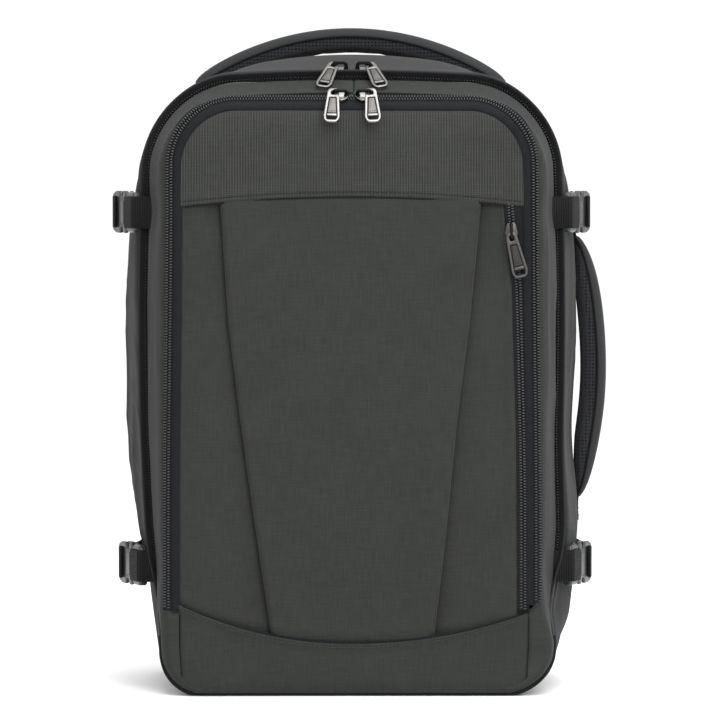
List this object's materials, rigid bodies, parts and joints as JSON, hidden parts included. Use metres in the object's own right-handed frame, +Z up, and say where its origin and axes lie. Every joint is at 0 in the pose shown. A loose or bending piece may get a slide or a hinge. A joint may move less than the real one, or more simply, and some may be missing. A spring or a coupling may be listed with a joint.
{
  "type": "travel backpack",
  "caption": "Tall travel backpack with a clamshell main compartment, zipped front pocket, side-access pocket, compression straps with buckles, padded grab handles and a padded harness.",
  "frame": {"origin": "centre of the flat base, on the surface the bag stands on", "axes": "+Z up along the bag's height, -Y out of the front pocket, +X to the right seen from the front"},
  "size_m": [0.3947, 0.2353, 0.5216],
  "materials": {
    "fabric_main": "charcoal polyester weave",
    "fabric_yoke": "charcoal ribbed twill",
    "fabric_base": "dark coated polyester",
    "zip_tape": "black woven tape with nylon coil",
    "webbing": "black ribbed webbing",
    "air_mesh": "black spacer mesh",
    "lining": "plain grey lining",
    "buckle_plastic": "satin moulded acetal",
    "stiffener": "flat sheet",
    "zip_metal": "gunmetal plated"
  },
  "bodies": {
    "root": {"base_tray": "fabric_base", "rear_gusset": "fabric_main", "back_panel": "fabric_base", "frame_sheet": "stiffener", "laptop_sleeve": "lining", "main_zip_rear": "zip_tape", "lumbar_pad": "air_mesh", "harness_yoke": "fabric_main", "back_pad_left": "air_mesh", "back_pad_right": "air_mesh", "lower_webbing_left": "webbing", "lower_webbing_right": "webbing", "strap_anchor_left": "fabric_main", "strap_anchor_right": "fabric_main", "buckle_socket_upper_left": "buckle_plastic", "buckle_socket_upper_right": "buckle_plastic", "buckle_socket_lower_left": "buckle_plastic", "buckle_socket_lower_right": "buckle_plastic", "rear_webbing_upper_left": "webbing", "rear_webbing_upper_right": "webbing", "rear_webbing_lower_left": "webbing", "rear_webbing_lower_right": "webbing"},
    "lid": {"lid_gusset": "fabric_main", "lid_lower_panel": "fabric_main", "pocket_divider": "lining", "organiser_pocket": "lining", "main_zip_front": "zip_tape", "pocket_zip_outer": "zip_tape", "front_webbing_upper_left": "webbing", "front_webbing_upper_right": "webbing", "front_webbing_lower_left": "webbing", "front_webbing_lower_right": "webbing"},
    "flap": {"flap_yoke": "fabric_yoke", "flap_centre_panel": "fabric_main", "flap_side_left": "fabric_main", "flap_side_right": "fabric_main", "pocket_zip_inner": "zip_tape", "side_pocket_zip": "zip_tape", "side_pocket_liner": "lining"},
    "top_handle": {"top_handle": "air_mesh"},
    "side_handle": {"side_handle": "air_mesh"},
    "shoulder_strap_left": {"shoulder_strap_left": "air_mesh", "ladder_lock_left": "buckle_plastic"},
    "shoulder_strap_right": {"shoulder_strap_right": "air_mesh", "ladder_lock_right": "buckle_plastic"},
    "plug_lower_left": {"buckle_plug_lower_left": "buckle_plastic"},
    "plug_lower_right": {"buckle_plug_lower_right": "buckle_plastic"},
    "plug_upper_left": {"buckle_plug_upper_left": "buckle_plastic"},
    "plug_upper_right": {"buckle_plug_upper_right": "buckle_plastic"},
    "main_slider_left": {"main_slider_left": "zip_metal"},
    "main_puller_left": {"main_puller_left": "zip_metal"},
    "pocket_slider_left": {"pocket_slider_left": "zip_metal"},
    "pocket_puller_left": {"pocket_puller_left": "zip_metal"},
    "main_slider_right": {"main_slider_right": "zip_metal"},
    "main_puller_right": {"main_puller_right": "zip_metal"},
    "pocket_slider_right": {"pocket_slider_right": "zip_metal"},
    "pocket_puller_right": {"pocket_puller_right": "zip_metal"},
    "side_slider": {"side_slider": "zip_metal"},
    "side_puller": {"side_puller": "zip_metal"}
  },
  "joints": [
    {"name": "compartment_lid", "type": "hinge", "parent": "root", "child": "lid", "pos_m": [0, -0.1052, 0.042], "axis": [1, 0, 0], "range_deg": [0, 90]},
    {"name": "front_flap", "type": "hinge", "parent": "lid", "child": "flap", "pos_m": [0, -0.106, 0.075], "axis": [-1, 0, 0], "range_deg": [-75, 0]},
    {"name": "grab_handle_side", "type": "hinge", "parent": "root", "child": "side_handle", "pos_m": [0.17885, 0.038, 0.25], "axis": [0.0328, 0, 0.9995], "range_deg": [-8, 8]},
    {"name": "grab_handle_top", "type": "hinge", "parent": "root", "child": "top_handle", "pos_m": [0, 0.074, 0.473], "axis": [1, 0, 0], "range_deg": [-35, 6]},
    {"name": "harness_left", "type": "hinge", "parent": "root", "child": "shoulder_strap_left", "pos_m": [0, 0.111, 0.452], "axis": [1, 0, 0], "range_deg": [0, 25]},
    {"name": "harness_right", "type": "hinge", "parent": "root", "child": "shoulder_strap_right", "pos_m": [0, 0.111, 0.452], "axis": [1, 0, 0], "range_deg": [0, 25]},
    {"name": "plug_lower_left", "type": "slide", "parent": "lid", "child": "plug_lower_left", "axis": [0.342, -0.9397, 0], "range_m": [0, 0.015]},
    {"name": "plug_lower_right", "type": "slide", "parent": "lid", "child": "plug_lower_right", "axis": [-0.342, -0.9397, 0], "range_m": [0, 0.015]},
    {"name": "plug_upper_left", "type": "slide", "parent": "lid", "child": "plug_upper_left", "axis": [0.342, -0.9397, 0], "range_m": [0, 0.015]},
    {"name": "plug_upper_right", "type": "slide", "parent": "lid", "child": "plug_upper_right", "axis": [-0.342, -0.9397, 0], "range_m": [0, 0.015]},
    {"name": "slide_main_left", "type": "slide", "parent": "root", "child": "main_slider_left", "axis": [-1, 0, 0], "range_m": [0, 0.075]},
    {"name": "swing_main_left", "type": "hinge", "parent": "main_slider_left", "child": "main_puller_left", "pos_m": [-0.0146, -0.05708, 0.48949], "axis": [-0.9613, 0.2285, 0.1541], "range_deg": [0, 26]},
    {"name": "slide_pocket_left", "type": "slide", "parent": "lid", "child": "pocket_slider_left", "axis": [-1, 0, 0], "range_m": [0, 0.07]},
    {"name": "swing_pocket_left", "type": "hinge", "parent": "pocket_slider_left", "child": "pocket_puller_left", "pos_m": [-0.0146, -0.09628, 0.46798], "axis": [-0.9986, 0.0364, 0.0376], "range_deg": [0, 26]},
    {"name": "slide_main_right", "type": "slide", "parent": "root", "child": "main_slider_right", "axis": [1, 0, 0], "range_m": [0, 0.075]},
    {"name": "swing_main_right", "type": "hinge", "parent": "main_slider_right", "child": "main_puller_right", "pos_m": [0.0146, -0.05708, 0.48949], "axis": [-0.9613, -0.2285, -0.1541], "range_deg": [0, 26]},
    {"name": "slide_pocket_right", "type": "slide", "parent": "lid", "child": "pocket_slider_right", "axis": [1, 0, 0], "range_m": [0, 0.07]},
    {"name": "swing_pocket_right", "type": "hinge", "parent": "pocket_slider_right", "child": "pocket_puller_right", "pos_m": [0.0146, -0.09628, 0.46798], "axis": [-0.9986, -0.0364, -0.0376], "range_deg": [0, 26]},
    {"name": "slide_side", "type": "slide", "parent": "flap", "child": "side_slider", "axis": [0.0334, 0, -0.9994], "range_m": [0, 0.25]},
    {"name": "swing_side", "type": "hinge", "parent": "side_slider", "child": "side_puller", "pos_m": [0.12021, -0.11337, 0.3559], "axis": [-0.9707, 0, -0.2405], "range_deg": [0, 18]}
  ]
}
